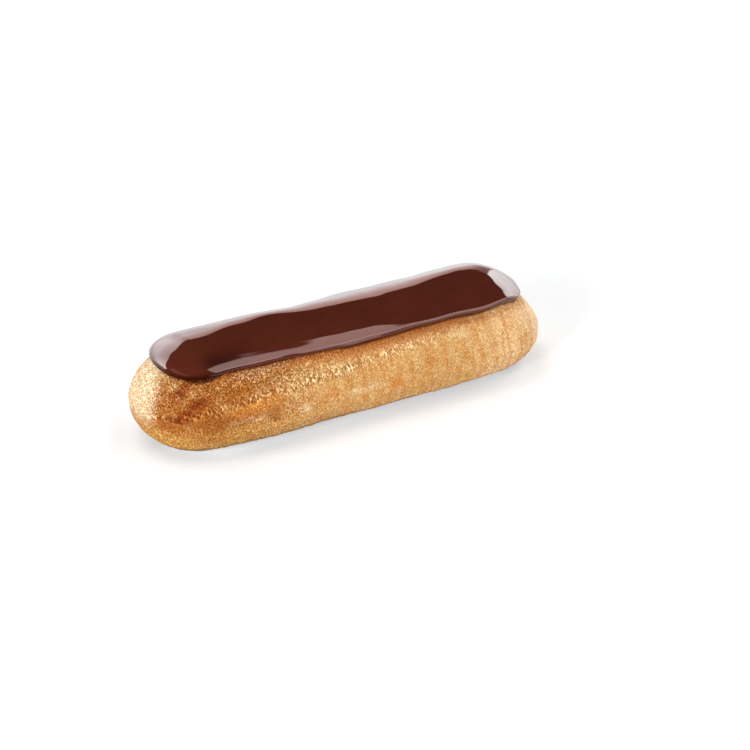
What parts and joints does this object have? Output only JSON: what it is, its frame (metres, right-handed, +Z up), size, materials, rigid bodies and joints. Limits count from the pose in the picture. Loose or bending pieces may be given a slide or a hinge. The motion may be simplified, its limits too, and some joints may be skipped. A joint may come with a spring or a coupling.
{
  "type": "chocolate eclair",
  "caption": "Long round-ended choux pastry with a flat baked base and a smooth chocolate glaze over its top.",
  "frame": {"origin": "on the flat baked base, below the middle of the bounding box", "axes": "+X along the pastry towards its slightly wider end, +Y across it away from its front side, +Z up through the glaze"},
  "size_m": [0.14, 0.0458, 0.0315],
  "materials": {
    "choux_pastry": "dry golden-brown baked crust, finely wrinkled",
    "chocolate_glaze": "smooth mirror-like dark chocolate glaze"
  },
  "bodies": {
    "root": {"choux_pastry": "choux_pastry", "chocolate_glaze": "chocolate_glaze"}
  },
  "joints": []
}
